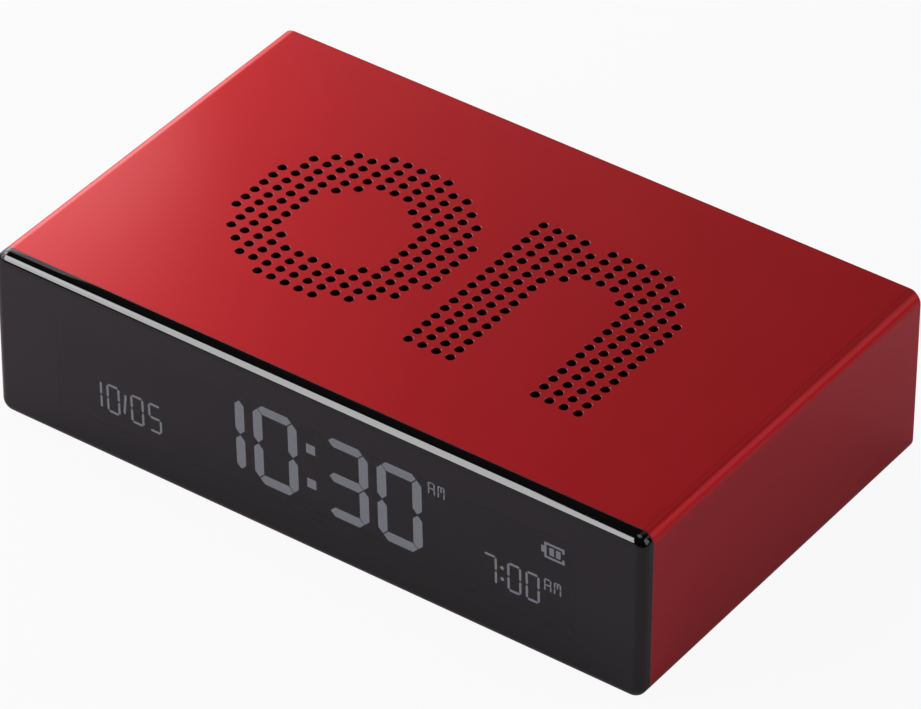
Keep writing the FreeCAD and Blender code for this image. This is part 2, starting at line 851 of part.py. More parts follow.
def rear_cover():
    """Moulded cover: a rounded plate on the sleeve's rear end, a rim inside it and screw tubes."""
    outer = plate(cover_inset - half_width, half_width - cover_inset,
                  cover_inset, case_height - cover_inset, cover_corner, sleeve_rear, cover_rear)
    outer = outer.makeFillet(cover_edge_round, edges_on_y(outer, cover_rear))
    rim = bore_plate(rim_clearance, sleeve_inner_corner, cover_rim_end, sleeve_rear)
    hollow = bore_plate(rim_clearance + cover_rim_wall, sleeve_inner_corner,
                        cover_rim_end, cover_inside)
    body = joined([outer, rim.cut(hollow)])
    tubes = [bar_y(side * rear_boss_x, row, boss_radius, cover_rim_end, cover_inside)
             for side, row in corners]
    return joined([body] + tubes).cut(cover_openings())


def cover_screws():
    """Four screws through the cover into the rear bosses of the chassis."""
    seat = cover_screw_seat()
    length = seat - chassis_rear + screw_bite
    return Part.makeCompound([screw_to_front(side * rear_boss_x, row, seat, length)
                              for side, row in corners])


def push_key(x):
    """Key with a chamfered edge, the flange that keeps it in and the pin that meets the switch."""
    half = key_height / 2
    cap = plate(x - key_length / 2, x + key_length / 2, mid_z - half, mid_z + half,
                half - 0.01, flange_back, key_face)
    cap = cap.makeChamfer(key_edge_chamfer, edges_on_y(cap, key_face))
    spread = key_length / 2 + key_flange
    rise = half + key_flange
    flange = block(x - spread, x + spread, flange_front, flange_back, mid_z - rise, mid_z + rise)
    return joined([cap, flange, bar_y(x, mid_z, key_pin_radius, stem_tip, flange_front)])


def key_up():
    """Key that counts up."""
    return push_key(key_places()[0])


def key_down():
    """Key that counts down."""
    return push_key(key_places()[1])


def switch_body(x):
    """Side-facing push switch on the main board, bored for its stem."""
    body = block(x - switch_length / 2, x + switch_length / 2, switch_face - switch_depth,
                 switch_face, board_top, board_top + switch_height)
    depth = stem_hidden + key_travel + stem_spare
    return body.cut(bar_y(x, mid_z, stem_radius + stem_clearance, switch_face - depth, switch_face))


def switch_bodies():
    """Both push switches."""
    return Part.makeCompound([switch_body(x) for x in key_places()])


def switch_stem(x):
    """Stem that the key pushes into the switch."""
    return bar_y(x, mid_z, stem_radius, switch_face - stem_hidden, stem_tip)


def switch_stem_up():
    """Stem behind the up key."""
    return switch_stem(key_places()[0])


def switch_stem_down():
    """Stem behind the down key."""
    return switch_stem(key_places()[1])


def mode_knob():
    """Ribbed knob outside, stalk through the slot, flange and fork inside."""
    low = panel_floor + knob_gap
    half = knob_height / 2
    knob = plate(slider_x - knob_length / 2, slider_x + knob_length / 2, mid_z - half, mid_z + half,
                 0.8, low, low + knob_thickness)
    pitch = knob_length / (knob_rib_count + 1)
    for index in range(knob_rib_count):
        x = slider_x - knob_length / 2 + pitch * (index + 1)
        knob = knob.cut(block(x - knob_rib / 2, x + knob_rib / 2,
                              low + knob_thickness / 2, low + knob_thickness,
                              mid_z - half, mid_z + half))
    stalk = plate(slider_x - stalk_length / 2, slider_x + stalk_length / 2,
                  mid_z - stalk_height / 2, mid_z + stalk_height / 2,
                  stalk_height / 2 - 0.01, flange_back, low)
    spread = 2 * slider_travel + stalk_length / 2 + 2 * slot_clearance
    flange = block(slider_x - spread, slider_x + spread, flange_back - slide_flange_thickness,
                   flange_back, mid_z - slide_flange_height / 2, mid_z + slide_flange_height / 2)
    fork_back = flange_back - slide_flange_thickness
    fork = block(slider_x - fork_length / 2, slider_x + fork_length / 2, fork_back - fork_reach,
                 fork_back, mid_z - fork_height / 2, mid_z + fork_height / 2)
    grip = lever_size / 2 + lever_clearance
    notch = block(slider_x - grip, slider_x + grip, fork_back - fork_reach, fork_back,
                  mid_z - fork_height / 2, mid_z + fork_height / 2)
    return joined([knob, stalk, flange, fork.cut(notch)])


def slide_switch_face():
    """Rear face of the slide switch."""
    return flange_back - slide_flange_thickness - lever_reach


def slide_switch_body():
    """Slide switch on the main board, with the slot that its lever runs in."""
    face = slide_switch_face()
    body = block(slider_x - slide_body_length / 2, slider_x + slide_body_length / 2,
                 face - slide_body_depth, face, board_top, board_top + slide_body_height)
    reach = slider_travel + lever_size / 2 + lever_clearance
    rise = lever_size / 2 + lever_clearance
    return body.cut(block(slider_x - reach, slider_x + reach,
                          face - lever_hidden - lever_clearance, face, mid_z - rise, mid_z + rise))


def slide_switch_lever():
    """Lever that the knob's fork carries from one stop to the next."""
    face = slide_switch_face()
    half = lever_size / 2
    return block(slider_x - half, slider_x + half, face - lever_hidden,
                 face + lever_reach - lever_clearance, mid_z - half, mid_z + half)


def usb_mouth():
    """Station of the port's mouth, just below the panel floor."""
    return panel_floor - usb_mouth_step


def usb_shell():
    """Drawn steel shell of the charging port, open to the rear."""
    mouth = usb_mouth()
    x0, x1 = usb_x - usb_width / 2, usb_x + usb_width / 2
    low, high = mid_z - usb_height / 2, mid_z + usb_height / 2
    outer = plate(x0, x1, low, high, usb_height / 2 - 0.01, mouth - usb_length, mouth)
    wall = usb_wall
    inner = plate(x0 + wall, x1 - wall, low + wall, high - wall, usb_height / 2 - wall - 0.01,
                  mouth - usb_length + wall, mouth)
    return outer.cut(inner)


def usb_tongue():
    """Contact tongue of the port, on the insulator that closes the shell."""
    back = usb_mouth() - usb_length + usb_wall
    gap = usb_wall + 0.02
    low, high = mid_z - usb_height / 2 + gap, mid_z + usb_height / 2 - gap
    x0, x1 = usb_x - usb_width / 2 + gap, usb_x + usb_width / 2 - gap
    insulator = plate(x0, x1, low, high, usb_height / 2 - gap - 0.01, back, back + usb_back)
    tongue = block(usb_x - tongue_width / 2, usb_x + tongue_width / 2, back + usb_back,
                   back + usb_back + tongue_length,
                   mid_z - tongue_thickness / 2, mid_z + tongue_thickness / 2)
    return joined([insulator, tongue])


PIECES = (case_sleeve, front_lens, lens_tape, display_gasket, front_frame, lcd_glass,
          diffuser_film, light_guide, reflector_film, backlight_lamps, contact_strip,
          display_board, frame_screws, chassis, battery_pad, battery,
          speaker_gasket, speaker, main_board, board_screws, board_parts, ribbon_sockets,
          ribbon_cable, touch_contacts, tilt_base, tilt_can, tilt_ball, mesh_upper, mesh_lower,
          rear_cover, cover_screws, key_up, key_down, switch_bodies, switch_stem_up,
          switch_stem_down, mode_knob, slide_switch_body, slide_switch_lever, usb_shell,
          usb_tongue)


os.makedirs("parts", exist_ok=True)
for piece in PIECES:
    shape = piece()
    assert shape.isValid(), piece.__name__
    shape.exportStep("parts/" + piece.__name__ + ".step")
    print(piece.__name__, len(shape.Solids), round(shape.Volume, 2))
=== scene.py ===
"""Reversible bedside alarm clock: a perforated red sleeve, a smoked lens and a rear cover."""
import bmesh
import bpy
import math
import numpy as np
from mathutils import Matrix, Quaternion, Vector
from mathutils.geometry import delaunay_2d_cdt


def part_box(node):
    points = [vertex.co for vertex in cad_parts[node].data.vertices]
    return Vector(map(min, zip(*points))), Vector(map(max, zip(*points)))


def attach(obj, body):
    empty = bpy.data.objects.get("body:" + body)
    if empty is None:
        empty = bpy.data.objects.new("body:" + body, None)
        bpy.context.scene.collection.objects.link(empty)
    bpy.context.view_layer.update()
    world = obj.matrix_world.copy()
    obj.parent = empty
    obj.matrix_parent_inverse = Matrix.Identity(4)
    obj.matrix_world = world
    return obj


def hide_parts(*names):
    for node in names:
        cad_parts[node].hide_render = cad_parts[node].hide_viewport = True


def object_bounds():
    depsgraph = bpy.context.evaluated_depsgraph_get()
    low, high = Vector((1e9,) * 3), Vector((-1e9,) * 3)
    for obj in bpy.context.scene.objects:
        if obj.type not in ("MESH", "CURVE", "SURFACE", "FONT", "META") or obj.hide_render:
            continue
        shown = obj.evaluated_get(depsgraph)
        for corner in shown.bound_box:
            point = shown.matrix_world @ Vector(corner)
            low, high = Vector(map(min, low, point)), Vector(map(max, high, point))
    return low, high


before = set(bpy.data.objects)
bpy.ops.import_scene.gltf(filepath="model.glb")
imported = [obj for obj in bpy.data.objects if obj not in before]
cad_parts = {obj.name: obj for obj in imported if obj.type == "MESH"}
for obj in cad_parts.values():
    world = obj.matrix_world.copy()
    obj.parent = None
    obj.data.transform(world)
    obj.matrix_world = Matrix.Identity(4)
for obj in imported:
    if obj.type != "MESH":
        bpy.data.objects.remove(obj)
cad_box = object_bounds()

# The camera stands above the right front corner, far off behind a long lens, and looks down
# at the middle of the clock. Its place comes from the outline and the hole grid of the photo.
CAMERA_AIM = Vector((0.00106, -0.00104, 0.01375))
CAMERA_DISTANCE = 0.9334
CAMERA_AZIMUTH = 35.426
CAMERA_ELEVATION = 37.498
CAMERA_ROLL = 0.284
CAMERA_LENS = 263.31
CAMERA_SENSOR = 36.0

azimuth, elevation = math.radians(CAMERA_AZIMUTH), math.radians(CAMERA_ELEVATION)
toward_camera = Vector((math.sin(azimuth) * math.cos(elevation),
                        -math.cos(azimuth) * math.cos(elevation), math.sin(elevation)))
camera_data = bpy.data.cameras.new("camera")
camera_data.lens = CAMERA_LENS
camera_data.sensor_width = CAMERA_SENSOR
camera = bpy.data.objects.new("camera", camera_data)
bpy.context.collection.objects.link(camera)
camera.rotation_mode = "QUATERNION"
camera.location = CAMERA_AIM + toward_camera * CAMERA_DISTANCE
roll = Matrix.Rotation(math.radians(CAMERA_ROLL), 3, toward_camera)
level_view = (-toward_camera).to_track_quat("-Z", "Y").to_matrix()
camera.rotation_quaternion = (roll @ level_view).to_quaternion()
bpy.context.scene.camera = camera
bpy.context.scene.view_settings.view_transform = "Standard"

# The sleeve is an aluminium tube with thin walls, bead-blasted and anodised red, with a fine
# chamfer turned on both ends, coloured paler as a painted highlight. Round holes punched
# through the top spell the word "on" and those in the underside spell "off"; their rims get
# the same painted highlight and their bores painted shade. The lens cap and the rear cover close
# the tube.
SLEEVE_WALL = 0.0013
SLEEVE_CORNER = 0.0020
SLEEVE_BORE_CORNER = 0.0007
SLEEVE_CHAMFER = 0.00009
CORNER_STEPS = 8
FACE_MARGIN = 0.000005
COLUMN_PITCH = 0.002337
ROW_PITCH = 0.0021312
HOLE_RADIUS = 0.00070
HOLE_CHAMFER = 0.00006
HOLE_SIDES = 16
ON_O_START = (-0.03390, -0.01652)
ON_N_START = (0.00364, -0.01690)
LETTER_ROWS = 16
LETTER_GAP = 1
STEM_COLUMNS = 4
O_COLUMNS = 15
O_MIDDLE_ROW = 7.5
O_RADIUS = 0.0173
O_HOLLOW_ROW = 7.25
O_HOLLOW_RADIUS = 0.0087
N_COLUMNS = 13
N_ARCH_CENTRE = (6.5, 9.5)
N_ARCH_RADIUS = 0.0135
N_HOLLOW_CENTRE = (6, 8.5)
N_HOLLOW_RADIUS = 0.0064
N_HOLLOW_REACH = 2
F_COLUMNS = 9
F_ROWS = 22
F_STEM_MIDDLE = 3.5
F_BAR_ROWS = 3
F_HOOK_ROW = 15.5
F_HOOK_RADII = (0.0056, 0.0155)
RED = (0.61, 0.008, 0.015)
RED_PALER = (0.64, 0.011, 0.019)
# Painted shade: the bores of the holes are coloured a darker red than the outside.
HOLE_SHADE_RED = (0.20, 0.003, 0.005)
# Painted highlight: the end chamfers and the rims of the holes are coloured a paler pink.
EDGE_HIGHLIGHT_PINK = (0.28, 0.110, 0.120)

sleeve_low, sleeve_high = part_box("case_sleeve")


class Signal:
    """A shader socket whose sums, products and comparisons each add one Math node."""

    def __init__(self, finish, socket):
        self.finish = finish
        self.socket = socket

    def math(self, operation, *others):
        return self.finish.add("ShaderNodeMath", {"operation": operation}, [self, *others])

    def __add__(self, other):
        return self.math("ADD", other)

    def __sub__(self, other):
        return self.math("SUBTRACT", other)

    def __rsub__(self, other):
        return self.finish.add("ShaderNodeMath", {"operation": "SUBTRACT"}, [other, self])

    def __mul__(self, other):
        return self.math("MULTIPLY", other)

    def __gt__(self, other):
        return self.math("GREATER_THAN", other)

    def __lt__(self, other):
        return self.math("LESS_THAN", other)

    def clamp(self):
        return self.math("MAXIMUM", 0.0).math("MINIMUM", 1.0)

    __radd__ = __add__
    __rmul__ = __mul__


class Finish:
    """One material: its tree, its main shader and the few ways that nodes are added to it."""

    def __init__(self, name, color, roughness, **constants):
        self.material = bpy.data.materials.new(name)
        self.material.use_nodes = True
        self.tree = self.material.node_tree
        self.shader = self.tree.nodes["Principled BSDF"]
        self.shader.inputs["Base Color"].default_value = (*color, 1.0)
        self.shader.inputs["Roughness"].default_value = roughness
        for key, value in constants.items():
            self.shader.inputs[key.replace("_", " ")].default_value = value
        self.place = self.add("ShaderNodeTexCoord", {}, {}, "Object")

    def add(self, kind, settings, values, output=0):
        """Adds a node, sets it up, feeds its sockets and gives back one of its outputs."""
        node = self.tree.nodes.new(kind)
        for key, value in settings.items():
            setattr(node, key, value)
        pairs = values.items() if isinstance(values, dict) else enumerate(values)
        for key, value in pairs:
            self.feed(node.inputs[key], value)
        return Signal(self, node.outputs[output])

    def feed(self, socket, value):
        """Links a signal to a socket, or sets the socket to a plain value."""
        if isinstance(value, Signal):
            self.tree.links.new(value.socket, socket)
        else:
            socket.default_value = value

    def set(self, **values):
        """Feeds the main shader's sockets by name."""
        for key, value in values.items():
            self.feed(self.shader.inputs[key.replace("_", " ")], value)
        return self

    def noise(self, scale, detail=2.0, rough=0.5, stretch=None):
        """Noise from 0 to 1 on Object coordinates; scale is in features per metre."""
        where = self.place
        if stretch:
            where = self.add("ShaderNodeMapping", {}, {"Vector": self.place, "Scale": stretch})
        return self.add("ShaderNodeTexNoise", {}, {"Vector": where, "Scale": scale,
                                                   "Detail": detail, "Roughness": rough})

    def mix(self, factor, first, second):
        """Blend of two colours."""
        return self.add("ShaderNodeMix", {"data_type": "RGBA"}, {0: factor, 6: first, 7: second}, 2)

    def bump(self, height, distance, strength=1.0):
        """Feeds a height, in metres once scaled by distance, to the main shader's normal."""
        normal = self.add("ShaderNodeBump", {}, {"Strength": strength, "Distance": distance,
                                                 "Height": height})
        return self.set(Normal=normal)


def mesh_piece(name, points, faces, finish, slot, body="case", sharp=30.0):
    """Object from points and faces, welded, facing outwards and smooth between sharp edges."""
    mesh = bpy.data.meshes.new(name)
    mesh.from_pydata(points, [], faces)
    work = bmesh.new()
    work.from_mesh(mesh)
    bmesh.ops.remove_doubles(work, verts=work.verts, dist=1e-7)
    bmesh.ops.recalc_face_normals(work, faces=work.faces)
    work.to_mesh(mesh)
    work.free()
    mesh.shade_smooth()
    mesh.set_sharp_from_angle(angle=math.radians(sharp))
    piece = bpy.data.objects.new(name, mesh)
    bpy.context.collection.objects.link(piece)
    weighted = piece.modifiers.new("even_normals", "WEIGHTED_NORMAL")
    weighted.keep_sharp = True
    mesh.materials.append(finish.material)
    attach(piece, body)
    return piece


def grid(columns, rows):
    """Column and row numbers of a letter's lattice, as two flat arrays."""
    column, row = np.meshgrid(np.arange(columns), np.arange(rows))
    return column.ravel(), row.ravel()


def reach(column, row, centre_column, centre_row):
    """Distance in metres from each lattice point to a centre given in columns and rows."""
    return np.hypot((column - centre_column) * COLUMN_PITCH, (row - centre_row) * ROW_PITCH)


def letter_o():
    """Ring: within one radius of the middle, and beyond a smaller one of a point just below it."""
    column, row = grid(O_COLUMNS, LETTER_ROWS)
    middle = (O_COLUMNS - 1) / 2
    kept = ((reach(column, row, middle, O_MIDDLE_ROW) < O_RADIUS)
            & (reach(column, row, middle, O_HOLLOW_ROW) > O_HOLLOW_RADIUS))
    return column[kept], row[kept]


def letter_n():
    """Left stem of four columns, and a round arch that comes down as a right leg of four."""
    column, row = grid(N_COLUMNS, LETTER_ROWS)
    arch = (reach(column, row, *N_ARCH_CENTRE) < N_ARCH_RADIUS) | (row < N_ARCH_CENTRE[1])
    between_legs = ((row < N_HOLLOW_CENTRE[1])
                    & (abs(column - N_HOLLOW_CENTRE[0]) <= N_HOLLOW_REACH))
    hollow = (reach(column, row, *N_HOLLOW_CENTRE) < N_HOLLOW_RADIUS) | between_legs
    notch = (column == STEM_COLUMNS) & (row == LETTER_ROWS - 1)
    kept = (arch | (column < STEM_COLUMNS)) & ~hollow & ~notch
    return column[kept], row[kept]


def letter_f():
    """Stem of four columns with a crossbar of three rows and a quarter ring as its hook."""
    column, row = grid(F_COLUMNS, F_ROWS)
    stem = (abs(column - F_STEM_MIDDLE) < STEM_COLUMNS / 2) & (row < LETTER_ROWS)
    bar = (row >= LETTER_ROWS - F_BAR_ROWS) & (row < LETTER_ROWS)
    away = reach(column, row, F_COLUMNS - 1, F_HOOK_ROW)
    hook = (row >= F_HOOK_ROW) & (away > F_HOOK_RADII[0]) & (away < F_HOOK_RADII[1])
    kept = stem | bar | hook
    return column[kept], row[kept]


def place_letter(letter, start, direction=1):
    """Hole centres of a letter whose first column and row lie at start."""
    column, row = letter
    return np.column_stack([start[0] + direction * column * COLUMN_PITCH,
                            start[1] + row * ROW_PITCH])


upper_holes = np.vstack([place_letter(letter_o(), ON_O_START),
                         place_letter(letter_n(), ON_N_START)])

# The underside is read from below, so its letters run from right to left about the middle.
off_columns = O_COLUMNS + 2 * (F_COLUMNS + LETTER_GAP)
off_start = (off_columns - 1) / 2 * COLUMN_PITCH
off_front = -(F_ROWS - 1) / 2 * ROW_PITCH
first_f = off_start - (O_COLUMNS + LETTER_GAP) * COLUMN_PITCH
second_f = first_f - (F_COLUMNS + LETTER_GAP) * COLUMN_PITCH
lower_holes = np.vstack([place_letter(letter, (start, off_front), -1) for letter, start in (
    (letter_o(), off_start), (letter_f(), first_f), (letter_f(), second_f))])


def rounded_loop(x0, x1, z0, z1, radius):
    """Rectangle with round corners: each corner is its centre plus radius times (cos, sin)."""
    turn = np.linspace(0, np.pi / 2, CORNER_STEPS + 1)
    arcs = []
    for centre_x, centre_z, start in ((x1 - radius, z1 - radius, 0), (x0 + radius, z1 - radius, 1),
                                      (x0 + radius, z0 + radius, 2), (x1 - radius, z0 + radius, 3)):
        angle = turn + start * np.pi / 2
        arcs.append(np.column_stack([centre_x + radius * np.cos(angle),
                                     centre_z + radius * np.sin(angle)]))
    return np.vstack(arcs)


def at_y(loop, y):
    """Puts an (x, z) loop on the plane at this y."""
    return np.column_stack([loop[:, 0], np.full(len(loop), y), loop[:, 1]])


def bands(rings, skipped=()):
    """Quads between rings of equal length, ring k to k + 1 and point j to j + 1 round the loop."""
    count, size = len(rings), len(rings[0])
    ring, point = np.meshgrid(np.arange(count - 1), np.setdiff1d(np.arange(size), skipped))
    ring, point = ring.ravel(), point.ravel()
    following = (point + 1) % size
    quads = np.column_stack([ring * size + point, ring * size + following,
                             (ring + 1) * size + following, (ring + 1) * size + point])
    return np.vstack(rings), quads


def unit_circle(sides):
    """Points of a circle of radius one: (cos, sin) of equal steps of angle."""
    angle = np.arange(sides) * 2 * np.pi / sides
    return np.column_stack([np.cos(angle), np.sin(angle)])


def triangulate(flat, edges):
    """Triangles between flat points that keep the edges, worked out in millimetres."""
    scaled = [Vector(pair) for pair in flat * 1000]
    return np.array(delaunay_2d_cdt(scaled, edges, [], 0, 1e-6)[2])


def punched_plate(x0, x1, y0, y1, z, centres, radius):
    """Flat plate triangulated round its holes; each hole is a ring of points about its centre.

    A triangle with all three of its points on one ring would fill that hole, so it is left out.
    """
    corners = [(x0, y0), (x1, y0), (x1, y1), (x0, y1)]
    first = len(corners)
    rims = (centres[:, None, :] + radius * unit_circle(HOLE_SIDES)[None, :, :]).reshape(-1, 2)
    flat = np.vstack([corners, rims])
    start = np.arange(len(rims)) + first
    after = start + 1 - HOLE_SIDES * ((start - first) % HOLE_SIDES == HOLE_SIDES - 1)
    edges = [(0, 1), (1, 2), (2, 3), (3, 0)] + np.column_stack([start, after]).tolist()
    faces = triangulate(flat, edges)
    hole = np.where(faces >= first, (faces - first) // HOLE_SIDES, -1 - faces)
    inside = (hole[:, 0] == hole[:, 1]) & (hole[:, 1] == hole[:, 2])
    return np.column_stack([flat, np.full(len(flat), z)]), faces[~inside]


def hole_walls(centres, levels):
    """Tube of quads down each hole, through rings of (radius, height)."""
    rings = []
    for radius, height in levels:
        rim = centres[:, None, :] + radius * unit_circle(HOLE_SIDES)[None, :, :]
        rings.append(np.dstack([rim, np.full(rim.shape[:2], height)]))
    points = np.stack(rings, axis=1).reshape(-1, 3)
    hole, level, side = np.meshgrid(np.arange(len(centres)), np.arange(len(levels) - 1),
                                    np.arange(HOLE_SIDES), indexing="ij")
    base = (hole * len(levels) + level) * HOLE_SIDES
    following = (side + 1) % HOLE_SIDES
    quads = np.stack([base + side, base + following, base + HOLE_SIDES + following,
                      base + HOLE_SIDES + side], axis=-1).reshape(-1, 4)
    return points, quads


def gather(parts):
    """One list of points and one of faces from several (points, faces) pairs."""
    points, faces, offset = [], [], 0
    for some_points, some_faces in parts:
        points += some_points.tolist()
        faces += (some_faces + offset).tolist()
        offset += len(some_points)
    return points, faces


def sleeve_parts():
    """Outer skin, bore, end rings, and the four punched plates with their hole walls.

    The skin and the bore skip the two long steps of their loops, which the plates fill.
    """
    x0, x1 = sleeve_low.x, sleeve_high.x
    z0, z1 = sleeve_low.z, sleeve_high.z
    y0, y1 = sleeve_low.y, sleeve_high.y
    chamfer, wall = SLEEVE_CHAMFER, SLEEVE_WALL
    outer = rounded_loop(x0, x1, z0, z1, SLEEVE_CORNER)
    end = rounded_loop(x0 + chamfer, x1 - chamfer, z0 + chamfer, z1 - chamfer,
                       SLEEVE_CORNER - chamfer)
    bore = rounded_loop(x0 + wall, x1 - wall, z0 + wall, z1 - wall, SLEEVE_BORE_CORNER)
    flats = (CORNER_STEPS, 3 * CORNER_STEPS + 2)
    parts = [bands([at_y(end, y0), at_y(outer, y0 + chamfer)]),
             bands([at_y(outer, y0 + chamfer), at_y(outer, y1 - chamfer)], flats),
             bands([at_y(outer, y1 - chamfer), at_y(end, y1), at_y(bore, y1)]),
             bands([at_y(bore, y1), at_y(bore, y0)], flats),
             bands([at_y(bore, y0), at_y(end, y0)])]
    left, right = x0 + SLEEVE_CORNER, x1 - SLEEVE_CORNER
    for face, inward, holes in ((z1, -1, upper_holes), (z0, 1, lower_holes)):
        back = face + inward * wall
        rim = HOLE_RADIUS + HOLE_CHAMFER
        parts.append(punched_plate(left, right, y0 + chamfer, y1 - chamfer, face, holes, rim))
        parts.append(punched_plate(left, right, y0, y1, back, holes, HOLE_RADIUS))
        parts.append(hole_walls(holes, [(rim, face), (HOLE_RADIUS, face + inward * HOLE_CHAMFER),
                                        (HOLE_RADIUS, back)]))
    return parts


def satin_red():
    """Blasted satin under a clear oxide; paler cut edges and hole rims are a painted highlight,
    darker hole bores painted shade.
    """
    finish = Finish("satin_red", RED, 0.54, Metallic=1.0, Coat_Weight=0.6, Coat_Roughness=0.2)
    cloud = finish.noise(60.0, 3.0)
    grain = finish.noise(9000.0, 2.0, 0.6)
    across = finish.add("ShaderNodeSeparateXYZ", {}, [finish.place], "X").math("ABSOLUTE")
    along = finish.add("ShaderNodeSeparateXYZ", {}, [finish.place], "Y")
    height = finish.add("ShaderNodeSeparateXYZ", {}, [finish.place], "Z")
    half_length = (sleeve_high.y - sleeve_low.y) / 2
    half_height = (sleeve_high.z - sleeve_low.z) / 2
    from_middle = (along - (sleeve_low.y + sleeve_high.y) / 2).math("ABSOLUTE")
    from_level = (height - (sleeve_low.z + sleeve_high.z) / 2).math("ABSOLUTE")
    on_flat = across < sleeve_high.x - SLEEVE_CORNER
    at_end = from_middle > half_length - SLEEVE_CHAMFER
    below_face = from_level < half_height - FACE_MARGIN
    # Painted shade: below the rim chamfer, the bores of the holes take the darker red.
    hole_shade_mask = on_flat * (from_level < half_height - HOLE_CHAMFER) * (1 - at_end)
    # Painted highlight: the ends of the tube and the rim chamfers of the holes take the paler pink.
    edge_highlight_mask = (at_end + on_flat * below_face * (1 - hole_shade_mask)).clamp()
    blasted = finish.mix(cloud, (*RED, 1.0), (*RED_PALER, 1.0))
    outside = finish.mix(edge_highlight_mask, blasted, (*EDGE_HIGHLIGHT_PINK, 1.0))
    finish.set(Base_Color=finish.mix(hole_shade_mask, outside, (*HOLE_SHADE_RED, 1.0)),
               Roughness=0.50 + 0.04 * cloud + 0.04 * grain)
    return finish.bump(grain, 0.000012, 0.5)


anodised = satin_red()
sleeve = mesh_piece("red_sleeve", *gather(sleeve_parts()), anodised, "anodised_red")
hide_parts("case_sleeve")

# The lens is one moulding of smoked acrylic as tall and wide as the sleeve, polished, with
# rounded front edges and a rim that plugs into the sleeve. It is black printed from behind
# all round, and left clear over the display.
LENS_ROUND = 0.0015
LENS_RIM_WALL = 0.0012
LENS_RIM_GAP = 0.0001
LENS_THICKNESS = 0.00212
ROUND_STEPS = 10
WINDOW_MARGIN = 0.0022
SMOKE = (0.20, 0.20, 0.205, 1.0)
LENS_BLACK = (0.0012, 0.0010, 0.0012)
LENS_ROUGHNESS = 0.035
ACRYLIC_IOR = 1.55

lens_low, lens_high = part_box("front_lens")


def lens_parts():
    """Rounded loops from the face, round its edge, back along the cap and along both rim sides."""
    x0, x1, z0, z1 = lens_low.x, lens_high.x, lens_low.z, lens_high.z
    back = lens_low.y + LENS_THICKNESS
    rings = []
    for angle in np.linspace(0, np.pi / 2, ROUND_STEPS + 1):
        inset = LENS_ROUND * (1 - np.sin(angle))
        loop = rounded_loop(x0 + inset, x1 - inset, z0 + inset, z1 - inset, SLEEVE_CORNER - inset)
        rings.append(at_y(loop, lens_low.y + LENS_ROUND * (1 - np.cos(angle))))
    outer = rounded_loop(x0, x1, z0, z1, SLEEVE_CORNER)
    rings.append(at_y(outer, back))
    for inset, ends in ((SLEEVE_WALL + LENS_RIM_GAP, (back, lens_high.y)),
                        (SLEEVE_WALL + LENS_RIM_GAP + LENS_RIM_WALL, (lens_high.y, back))):
        loop = rounded_loop(x0 + inset, x1 - inset, z0 + inset, z1 - inset, SLEEVE_BORE_CORNER)
        rings += [at_y(loop, y) for y in ends]
    points, quads = bands(rings)
    face_cap = np.arange(len(outer)).reshape(1, -1)
    return points, quads, [face_cap, face_cap + len(outer) * (len(rings) - 1)]


def smoked_acrylic():
    """Black gloss outside the window; inside it a Fresnel blend of clear smoke and reflection."""
    finish = Finish("smoked_acrylic", LENS_BLACK, LENS_ROUGHNESS, IOR=ACRYLIC_IOR)
    glass_low, glass_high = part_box("lcd_glass")
    across = finish.add("ShaderNodeSeparateXYZ", {}, [finish.place])
    up = finish.add("ShaderNodeSeparateXYZ", {}, [finish.place], "Z")
    half = (glass_high.x - glass_low.x) / 2 - WINDOW_MARGIN
    middle = (glass_high.z + glass_low.z) / 2
    rise = (glass_high.z - glass_low.z) / 2 - WINDOW_MARGIN
    window = (across.math("ABSOLUTE") < half) * ((up - middle).math("ABSOLUTE") < rise)
    smoke = finish.add("ShaderNodeBsdfTransparent", {}, {"Color": SMOKE})
    gloss = finish.add("ShaderNodeBsdfGlossy", {}, {"Color": (1, 1, 1, 1),
                                                    "Roughness": LENS_ROUGHNESS})
    behind = finish.add("ShaderNodeNewGeometry", {}, {}, "Backfacing")
    fresnel = finish.add("ShaderNodeFresnel", {}, {"IOR": ACRYLIC_IOR}) * (1 - behind)
    clear = finish.add("ShaderNodeMixShader", {}, [fresnel, smoke, gloss])
    black = Signal(finish, finish.shader.outputs[0])
    blend = finish.add("ShaderNodeMixShader", {}, [window, black, clear])
    output = finish.tree.nodes["Material Output"]
    finish.tree.links.new(blend.socket, output.inputs["Surface"])
    return finish


acrylic = smoked_acrylic()
lens_points, lens_quads, lens_caps = lens_parts()
lens_faces = lens_quads.tolist() + lens_caps[0].tolist() + lens_caps[1].tolist()
lens = mesh_piece("smoked_lens", lens_points.tolist(), lens_faces, acrylic, "lens_black")
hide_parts("front_lens")

# The display is a glass cell that is dark all over except at its segments, which glow by their
# own emission as painted light. Its segments are flat shapes in the glass: numerals built of
# seven bars, small letters, a battery gauge and dots. Their sizes and places are in millimetres.
MM = 0.001
SEGMENT_DEPTH = 0.04 * MM
SEGMENT_LEAN = 0.026
SEGMENT_GREY = (0.80, 0.83, 0.90)
SEGMENT_GREY_LOW = (0.752, 0.7802, 0.846)
BIG = {"width": 5.9, "rise": 5.97, "thick": 1.53, "gap": 0.12}
SMALL = {"width": 1.93, "rise": 2.27, "thick": 0.36, "gap": 0.09}
TINY = {"width": 0.95, "rise": 0.98, "thick": 0.21, "gap": 0.03}
TINY_STEP = 1.6
BARS = {"0": "abcdef", "1": "bc", "3": "abcdg", "5": "acdfg", "7": "abc", "A": "abcefg"}
TIME_LEVEL = 12.4
TIME_DIGITS = (("1", -13.87), ("0", -4.87), ("3", 7.08), ("0", 16.02))
TIME_DOTS = {"x": -1.80, "step": 2.95, "width": 1.5, "height": 1.55}
TIME_MARK = (18.0, 18.0)
DATE_LEVEL = 8.37
DATE_DIGITS = (("1", -38.22), ("0", -35.12), ("0", -30.93), ("5", -27.85))
